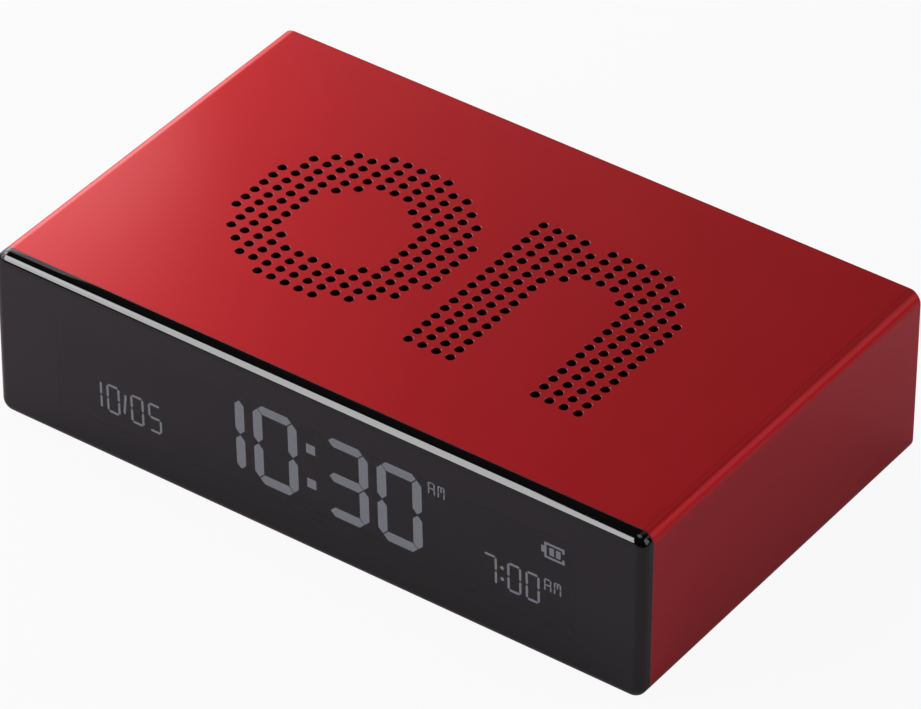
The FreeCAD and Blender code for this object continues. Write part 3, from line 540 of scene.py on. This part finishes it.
DATE_STROKE = ((-34.24, 6.7), (-33.86, 10.2))
ALARM_LEVEL = 8.97
ALARM_DIGITS = (("7", 28.92), ("0", 32.92), ("0", 35.92))
ALARM_DOTS = {"x": 29.95, "step": 0.95, "radius": 0.30}
ALARM_MARK = (36.95, 10.46)
DOT_SIDES = 12
GAUGE = {"left": 36.45, "right": 40.22, "bottom": 15.14, "top": 17.75}
GAUGE_LINE = 0.34
GAUGE_CAP = (0.5, 1.1)
GAUGE_LIP = 0.44
GAUGE_CHARGE = (0.72, 1.25)
GAUGE_CHARGE_STEPS = (-0.45, 0.62)

glass_low, glass_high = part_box("lcd_glass")
display_plane = glass_low.y


def bar_outline(start, end, thick, gap):
    """Six-sided bar between two points: its ends are points, drawn in by the gap."""
    start, end = np.array(start, float), np.array(end, float)
    along = (end - start) / np.linalg.norm(end - start)
    across = np.array([-along[1], along[0]]) * thick / 2
    tip0, tip1 = start + along * gap, end - along * gap
    shoulder = along * thick / 2
    return np.array([tip0, tip0 + shoulder - across, tip1 - shoulder - across,
                     tip1, tip1 - shoulder + across, tip0 + shoulder + across])


def numeral(character, right, middle, size):
    """The bars of one seven-bar character whose right column and middle bar are given."""
    left, top, bottom = right - size["width"], middle + size["rise"], middle - size["rise"]
    ends = {"a": ((left, top), (right, top)), "b": ((right, top), (right, middle)),
            "c": ((right, middle), (right, bottom)), "d": ((left, bottom), (right, bottom)),
            "e": ((left, bottom), (left, middle)), "f": ((left, middle), (left, top)),
            "g": ((left, middle), (right, middle))}
    return [bar_outline(*ends[bar], size["thick"], size["gap"]) for bar in BARS[character]]


def rectangle(x, z, width, height):
    """Upright rectangle about its centre."""
    return np.array([(x - width / 2, z - height / 2), (x + width / 2, z - height / 2),
                     (x + width / 2, z + height / 2), (x - width / 2, z + height / 2)])


def dot(x, z, radius):
    """Round dot: its centre plus its radius times the unit circle."""
    return (x, z) + radius * unit_circle(DOT_SIDES)


def letter_m(left, middle, size):
    """Two posts, a top bar and a short middle post."""
    right, top = left + size["width"], middle + size["rise"]
    centre = (left + right) / 2
    shapes = [bar_outline((x, z), (x, z + size["rise"]), size["thick"], size["gap"])
              for x in (left, right) for z in (middle - size["rise"], middle)]
    shapes.append(bar_outline((left, top), (centre, top), size["thick"], size["gap"]))
    shapes.append(bar_outline((centre, top), (right, top), size["thick"], size["gap"]))
    shapes.append(bar_outline((centre, middle), (centre, top), size["thick"], size["gap"]))
    return shapes


def morning_mark(left, middle):
    """The two small letters after a time."""
    return (numeral("A", left + TINY["width"], middle, TINY)
            + letter_m(left + TINY_STEP, middle, TINY))


def battery_gauge(left, right, bottom, top):
    """Open outline with a cap at its left, lips at its open right end and two charge bars."""
    line, middle = GAUGE_LINE, (bottom + top) / 2
    body = left + GAUGE_CAP[0]
    centre = (body + right) / 2
    lip = line + GAUGE_LIP / 2
    return [rectangle(centre, top - line / 2, right - body, line),
            rectangle(centre, bottom + line / 2, right - body, line),
            rectangle(body + line / 2, middle, line, top - bottom - 2 * line),
            rectangle(left + GAUGE_CAP[0] / 2, middle, *GAUGE_CAP),
            rectangle(right - line / 2, top - lip, line, GAUGE_LIP),
            rectangle(right - line / 2, bottom + lip, line, GAUGE_LIP),
            *[rectangle(centre + step, middle, *GAUGE_CHARGE) for step in GAUGE_CHARGE_STEPS]]


def digits(characters, level, size):
    """The bars of a row of characters, each given with the place of its right column."""
    return [bar for character, right in characters
            for bar in numeral(character, right, level, size)]


def display_shapes():
    """Every lit shape: the time, its date at the left, and the gauge and alarm at the right."""
    shapes = digits(TIME_DIGITS, TIME_LEVEL, BIG)
    shapes += [rectangle(TIME_DOTS["x"], TIME_LEVEL + side * TIME_DOTS["step"],
                         TIME_DOTS["width"], TIME_DOTS["height"]) for side in (1, -1)]
    shapes += morning_mark(*TIME_MARK)
    shapes += digits(DATE_DIGITS, DATE_LEVEL, SMALL)
    shapes.append(bar_outline(*DATE_STROKE, SMALL["thick"], 0.0))
    shapes += digits(ALARM_DIGITS, ALARM_LEVEL, SMALL)
    shapes += [dot(ALARM_DOTS["x"], ALARM_LEVEL + side * ALARM_DOTS["step"],
                   ALARM_DOTS["radius"]) for side in (1, -1)]
    shapes += morning_mark(*ALARM_MARK)
    shapes += battery_gauge(**GAUGE)
    return shapes


def lean(outline):
    """Moves each point across by the lean times its height below the middle of the time."""
    moved = outline.copy()
    moved[:, 0] += SEGMENT_LEAN * (TIME_LEVEL - outline[:, 1])
    return moved * MM


def flat_prisms(outlines, y_front, y_back):
    """Thin prisms from (x, z) outlines: a face in front, one behind and quads round the edge."""
    points, faces = [], []
    for outline in outlines:
        count, base = len(outline), len(points)
        points += at_y(outline, y_front).tolist() + at_y(outline, y_back).tolist()
        near = base + np.arange(count)
        after = base + (np.arange(count) + 1) % count
        faces += [near.tolist(), (near[::-1] + count).tolist()]
        faces += np.column_stack([near, after, after + count, near + count]).tolist()
    return points, faces


def dress(finish, *nodes):
    """Gives CAD nodes their finish."""
    for node in nodes:
        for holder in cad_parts[node].material_slots:
            holder.material = finish.material


# Painted light: the segments glow by their own emission; the backlight lamps in the scene give no
# light.
segment_finish = Finish("glowing_segments", (0.20, 0.20, 0.21), 0.6, Emission_Strength=4.4)
segment_finish.set(Emission_Color=segment_finish.mix(
    segment_finish.noise(900.0), (*SEGMENT_GREY_LOW, 1.0), (*SEGMENT_GREY, 1.0)))
mesh_piece("display_segments",
           *flat_prisms([lean(shape) for shape in display_shapes()],
                        display_plane - SEGMENT_DEPTH, display_plane),
           segment_finish, "display_glass")

display_glass = Finish("dark_cell_glass", (0.004, 0.004, 0.005), 0.3, Specular_IOR_Level=0.1)
display_glass.set(Roughness=0.28 + 0.06 * display_glass.noise(400.0))
dress(display_glass, "lcd_glass")

# Behind the glass a light guide, two films, lamps and the striped contact rubber are stacked
# on the display board; foam and adhesive tape seal the glass and the lens to the front frame.
foam = Finish("black_foam", (0.012, 0.012, 0.013), 0.95)
foam.bump(foam.noise(5000.0, 3.0, 0.7), 0.00005)
dress(foam, "display_gasket", "speaker_gasket", "battery_pad", "lens_tape")

film = Finish("bright_film", (0.82, 0.83, 0.85), 0.35)
film.set(Roughness=0.30 + 0.15 * film.noise(1500.0))
dress(film, "diffuser_film", "reflector_film")

guide = Finish("clear_guide", (0.80, 0.84, 0.86), 0.08, IOR=1.49, Coat_Weight=0.3)
guide.set(Roughness=0.06 + 0.06 * guide.noise(2500.0))
dress(guide, "light_guide")

lamp = Finish("lamp_resin", (0.86, 0.80, 0.45), 0.25)
lamp.set(Roughness=0.20 + 0.1 * lamp.noise(3000.0))
dress(lamp, "backlight_lamps")

STRIPE_PITCH = 0.0012566
WAVE_RATE = 20.0


def stripes(finish, direction, pitch):
    """Stripes across one axis: a wave whose phase, in radians, is its rate, scale and place
    multiplied, so one full turn of it takes up one pitch."""
    return finish.add("ShaderNodeTexWave", {"bands_direction": direction},
                      {"Vector": finish.place, "Scale": 2 * math.pi / (WAVE_RATE * pitch),
                       "Distortion": 0.0})


rubber = Finish("contact_rubber", (0.30, 0.26, 0.22), 0.7)
rubber.set(Base_Color=rubber.mix(stripes(rubber, "X", STRIPE_PITCH),
                                 (0.32, 0.28, 0.24, 1), (0.03, 0.03, 0.03, 1)))
dress(rubber, "contact_strip")

# The boards are green-lacquered laminate with copper below the lacquer; the chips, switches,
# sockets and the ribbon stand on them, and the tilt switch's ball rolls in a tinned can.
board = Finish("board_lacquer", (0.02, 0.15, 0.06), 0.35, Coat_Weight=0.4)
trace = board.add("ShaderNodeTexBrick", {"offset": 0.35},
                  {"Vector": board.place, "Scale": 260.0, "Mortar Size": 0.012,
                   "Color1": (0, 0, 0, 1), "Color2": (0.2, 0.2, 0.2, 1), "Mortar": (1, 1, 1, 1)})
board.set(Base_Color=board.mix(trace, (0.015, 0.13, 0.05, 1), (0.05, 0.24, 0.10, 1)))
dress(board, "display_board", "main_board")

resin = Finish("chip_resin", (0.018, 0.018, 0.019), 0.5)
resin.bump(resin.noise(6000.0, 2.0), 0.00001)
dress(resin, "board_parts", "switch_bodies", "usb_tongue", "tilt_base")

ivory = Finish("ivory_resin", (0.74, 0.70, 0.58), 0.45)
ivory.set(Roughness=0.40 + 0.1 * ivory.noise(1200.0))
dress(ivory, "ribbon_sockets")

RIBBON_PITCH = 0.0062832
ribbon = Finish("ribbon_film", (0.78, 0.78, 0.75), 0.4)
ribbon.set(Base_Color=ribbon.mix(stripes(ribbon, "X", RIBBON_PITCH),
                                 (0.80, 0.80, 0.77, 1), (0.55, 0.42, 0.28, 1)))
dress(ribbon, "ribbon_cable")

bronze = Finish("leaf_bronze", (0.72, 0.50, 0.26), 0.28, Metallic=1.0)
bronze.set(Roughness=0.22 + 0.14 * bronze.noise(2500.0, 2.0, 0.5, (1, 12, 12)))
dress(bronze, "touch_contacts")

tin = Finish("tinned_steel", (0.66, 0.65, 0.61), 0.3, Metallic=1.0)
tin.set(Roughness=0.25 + 0.2 * tin.noise(1800.0, 3.0))
dress(tin, "tilt_can", "slide_switch_body")

ball = Finish("polished_ball", (0.80, 0.80, 0.82), 0.08, Metallic=1.0)
ball.set(Roughness=0.06 + 0.06 * ball.noise(4000.0))
dress(ball, "tilt_ball")

grey = Finish("grey_moulding", (0.16, 0.16, 0.17), 0.5)
grey.bump(grey.noise(4000.0, 2.0), 0.00001)
dress(grey, "chassis", "switch_stem_up", "switch_stem_down", "slide_switch_lever")

foil = Finish("cell_foil", (0.60, 0.61, 0.63), 0.35, Metallic=1.0)
foil.bump(foil.noise(700.0, 4.0, 0.6), 0.0001)
dress(foil, "battery")

cone = Finish("speaker_finish", (0.16, 0.16, 0.17), 0.45, Metallic=0.6)
cone.set(Roughness=0.35 + 0.3 * cone.noise(900.0, 3.0))
dress(cone, "speaker")

# Behind the sound holes lies black acoustic cloth, woven square and bonded to the bore. It keeps
# dust out of the speaker and makes the holes look black.
CLOTH_PITCH = 0.0021991
cloth = Finish("acoustic_cloth", (0.010, 0.010, 0.011), 0.9)
weave = stripes(cloth, "X", CLOTH_PITCH) * stripes(cloth, "Y", CLOTH_PITCH)
cloth.set(Base_Color=cloth.mix(weave, (0.004, 0.004, 0.005, 1), (0.022, 0.022, 0.024, 1)))
cloth.bump(weave, 0.00006)
dress(cloth, "mesh_upper", "mesh_lower")

# The rear cover and the front frame are black mouldings with a fine spark-eroded texture; the
# keys and the ribbed knob of the slider are softer mouldings and a little lighter.
moulding = Finish("black_moulding", (0.022, 0.022, 0.024), 0.55)
texture = moulding.noise(7000.0, 2.0, 0.6)
moulding.set(Roughness=0.50 + 0.12 * texture)
moulding.bump(texture, 0.00002, 0.6)
dress(moulding, "rear_cover", "front_frame")

soft = Finish("soft_key", (0.045, 0.045, 0.048), 0.6)
soft.set(Roughness=0.55 + 0.1 * soft.noise(3000.0))
dress(soft, "key_up", "key_down", "mode_knob")

# Each key has its sign printed on its face in pale ink: a plus on the key that counts up and
# a minus on the key that counts down. They ride on the keys.
SIGN_LENGTH = 0.0022
SIGN_STROKE = 0.00045
INK_DEPTH = 0.00003

ink = Finish("pale_ink", (0.62, 0.62, 0.63), 0.5)
ink.set(Roughness=0.45 + 0.12 * ink.noise(5000.0))


def cross_outline(x, z, length, stroke):
    """Twelve corners of an upright cross about its centre."""
    long, short = length / 2, stroke / 2
    quarter = np.array([(long, short), (short, short), (short, long)])
    turns = [np.array([[0, 1], [-1, 0]]), -np.eye(2), np.array([[0, -1], [1, 0]])]
    return np.vstack([quarter] + [quarter @ turn for turn in turns]) + (x, z)


for key, key_body, sign in (("key_up", "up_key", cross_outline),
                            ("key_down", "down_key", rectangle)):
    key_low, key_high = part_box(key)
    sign_x, sign_z = (key_low.x + key_high.x) / 2, (key_low.z + key_high.z) / 2
    outline = sign(sign_x, sign_z, SIGN_LENGTH, SIGN_STROKE)
    mesh_piece(key + "_sign", *flat_prisms([outline], key_high.y, key_high.y + INK_DEPTH),
               ink, "key_black", key_body)

# The four cover screws are blackened steel, with a low round head that bears on the bottom of
# its sunk seat and a cross recess pressed into it; their shanks run into the chassis bosses.
# The screws inside match them, and the port's shell is drawn steel with a nickel plate.
SCREW_HEAD = 0.0018
SCREW_HEAD_HEIGHT = 0.0011
SCREW_SHANK = 0.00092
SCREW_TIP = 0.6
SCREW_ROUND = 0.00025
SCREW_ROUND_INSET = 0.3
SCREW_ROW_STEP = 0.0149
RECESS_LENGTH = 0.0019
RECESS_STROKE = 0.00042
RECESS_DEPTH = 0.0006
SCREW_SIDES = 24

screws_low, screws_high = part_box("cover_screws")


def cross_screw(x, z):
    """Turned rings from the tip to the head's rim, a top face round a cross, and the recess.

    A triangle of the top belongs to the recess where its middle lies in one arm of the cross.
    """
    top, neck = screws_high.y, screws_high.y - SCREW_HEAD_HEIGHT
    inset = SCREW_ROUND_INSET * SCREW_ROUND
    unit = unit_circle(SCREW_SIDES)
    rings = [at_y(radius * unit + (x, z), y) for radius, y in (
        (SCREW_SHANK * SCREW_TIP, screws_low.y), (SCREW_SHANK, screws_low.y + SCREW_SHANK / 2),
        (SCREW_SHANK, neck), (SCREW_HEAD, neck), (SCREW_HEAD, top - SCREW_ROUND),
        (SCREW_HEAD - inset, top - inset), (SCREW_HEAD - SCREW_ROUND, top))]
    cross = cross_outline(x, z, RECESS_LENGTH, RECESS_STROKE)
    rim = (SCREW_HEAD - SCREW_ROUND) * unit + (x, z)
    flat = np.vstack([rim, cross])
    count = len(cross)
    loops = [(k, (k + 1) % SCREW_SIDES) for k in range(SCREW_SIDES)]
    loops += [(SCREW_SIDES + k, SCREW_SIDES + (k + 1) % count) for k in range(count)]
    found = triangulate(flat, loops)
    middle = abs(flat[found].mean(axis=1) - (x, z))
    inside = ((middle < (RECESS_LENGTH / 2, RECESS_STROKE / 2)).all(axis=1)
              | (middle < (RECESS_STROKE / 2, RECESS_LENGTH / 2)).all(axis=1))
    tip = (rings[0], np.arange(SCREW_SIDES).reshape(1, -1))
    walls = bands([at_y(cross, top), at_y(cross, top - RECESS_DEPTH)])
    return [bands(rings), tip, (at_y(flat, top), found[~inside]), walls,
            (at_y(flat, top - RECESS_DEPTH), found[inside])]


screw_parts = []
for screw_x in (screws_low.x + SCREW_HEAD, screws_high.x - SCREW_HEAD):
    for step in (-0.5, 0.5):
        screw_z = (screws_low.z + screws_high.z) / 2 + step * SCREW_ROW_STEP
        screw_parts += cross_screw(screw_x, screw_z)

nickel = Finish("satin_nickel", (0.58, 0.57, 0.55), 0.28, Metallic=1.0)
nickel.set(Roughness=0.24 + 0.12 * nickel.noise(2500.0, 2.0, 0.5, (1, 10, 1)))
dress(nickel, "usb_shell")

blackened = Finish("blackened_screw", (0.10, 0.10, 0.105), 0.35, Metallic=1.0)
blackened.set(Roughness=0.30 + 0.15 * blackened.noise(3500.0))
dress(blackened, "frame_screws", "board_screws")
heads = mesh_piece("cross_screws", *gather(screw_parts), blackened, "screw_steel")
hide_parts("cover_screws")

# The studio: a floor and a surround that show white to the camera and only faintly in
# reflections. A tall strip lamp, linked to the lens and the floor alone, draws the line along
# the lens's edge, and low lamps at the left make the top fall off to the right.
FLOOR_HALF = 3.0
FLOOR_GAP = 0.00005
FLOOR_GREY = (0.335, 0.285, 0.325)
FLOOR_SHARE = 0.07
FLOOR_IN_GLOSS = 0.05
SURROUND = 0.02
SURROUND_IN_GLOSS = 0.03

# Each lamp: its name, place, width and height, power in watts and roll in degrees.
LAMPS = (
    ("strip", (-0.60, -0.84, 0.66), (0.40, 1.30), 14.0, 36.0),
    ("low_left", (-0.15, 0.04, 0.07), (0.12, 0.10), 0.05, 0.0),
    ("left", (-0.20, 0.02, 0.12), (0.24, 0.12), 0.09, 0.0),
    ("front_left", (-0.20, -0.10, 0.12), (0.16, 0.16), 0.12, 0.0),
    ("back_left", (-0.24, 0.26, 0.12), (0.30, 0.16), 0.18, 0.0),
    ("high_left", (-0.52, 0.05, 0.46), (0.24, 0.24), 0.75, 0.0),
    ("over", (0.05, 0.05, 0.75), (0.40, 0.40), 0.80, 0.0),
    ("back", (0.04, 0.50, 0.55), (0.30, 0.30), 0.07, 0.0),
    ("right", (0.55, 0.15, 0.30), (0.40, 0.40), 0.85, 0.0),
    ("back_right", (0.25, 0.30, 0.20), (0.20, 0.20), 0.07, 0.0),
)


def lamp_at(name, place, size, power, roll):
    """Rectangular lamp at a place, facing the clock and rolled about its own axis."""
    data = bpy.data.lights.new(name, "AREA")
    data.shape = "RECTANGLE"
    data.size, data.size_y = size
    data.energy = power
    light = bpy.data.objects.new(name, data)
    bpy.context.collection.objects.link(light)
    light.location = place
    light.rotation_mode = "QUATERNION"
    facing = (CAMERA_AIM - Vector(place)).to_track_quat("-Z", "Y")
    light.rotation_quaternion = facing @ Quaternion((0, 0, 1), math.radians(roll))
    return light


lamps = {settings[0]: lamp_at(*settings) for settings in LAMPS}

floor_finish = Finish("studio_floor", FLOOR_GREY, 0.9)
white = floor_finish.add("ShaderNodeEmission", {}, {"Color": (1, 1, 1, 1), "Strength": 1.0})
to_camera = floor_finish.add("ShaderNodeLightPath", {}, {}, "Is Camera Ray")
in_gloss = floor_finish.add("ShaderNodeLightPath", {}, {}, "Is Glossy Ray")
in_glass = floor_finish.add("ShaderNodeLightPath", {}, {}, "Is Transmission Ray")
share = (to_camera + FLOOR_IN_GLOSS * (in_gloss + in_glass)).clamp() * (1 - FLOOR_SHARE)
floor_mix = floor_finish.add("ShaderNodeMixShader", {},
                             [share, Signal(floor_finish, floor_finish.shader.outputs[0]), white])
floor_output = floor_finish.tree.nodes["Material Output"]
floor_finish.tree.links.new(floor_mix.socket, floor_output.inputs["Surface"])
floor_mesh = bpy.data.meshes.new("studio_floor")
floor_corners = np.array([(-1, -1, 0), (1, -1, 0), (1, 1, 0), (-1, 1, 0)]) * FLOOR_HALF
floor_corners = floor_corners + (0, 0, cad_box[0].z - FLOOR_GAP)
floor_mesh.from_pydata(floor_corners.tolist(), [], [(0, 1, 2, 3)])
floor_mesh.materials.append(floor_finish.material)
floor = bpy.data.objects.new("studio_floor", floor_mesh)
bpy.context.collection.objects.link(floor)

strip_takers = bpy.data.collections.new("strip_takers")
for taker in (lens, floor):
    strip_takers.objects.link(taker)
lamps["strip"].light_linking.receiver_collection = strip_takers

world = bpy.context.scene.world or bpy.data.worlds.new("surround")
bpy.context.scene.world = world
world.use_nodes = True
world_tree = world.node_tree
background = world_tree.nodes["Background"]
background.inputs["Color"].default_value = (1, 1, 1, 1)
ray = world_tree.nodes.new("ShaderNodeLightPath")


def strength_for(kind, strength, otherwise):
    """Strength of the surround for one kind of ray, and another output's value for the rest."""
    choice = world_tree.nodes.new("ShaderNodeMix")
    world_tree.links.new(ray.outputs[kind], choice.inputs["Factor"])
    world_tree.links.new(otherwise, choice.inputs["A"])
    choice.inputs["B"].default_value = strength
    return choice.outputs["Result"]


level = world_tree.nodes.new("ShaderNodeValue").outputs["Value"]
level.default_value = SURROUND
level = strength_for("Is Camera Ray", 1.0, level)
level = strength_for("Is Glossy Ray", SURROUND_IN_GLOSS, level)
level = strength_for("Is Transmission Ray", SURROUND_IN_GLOSS, level)
world_tree.links.new(level, background.inputs["Strength"])
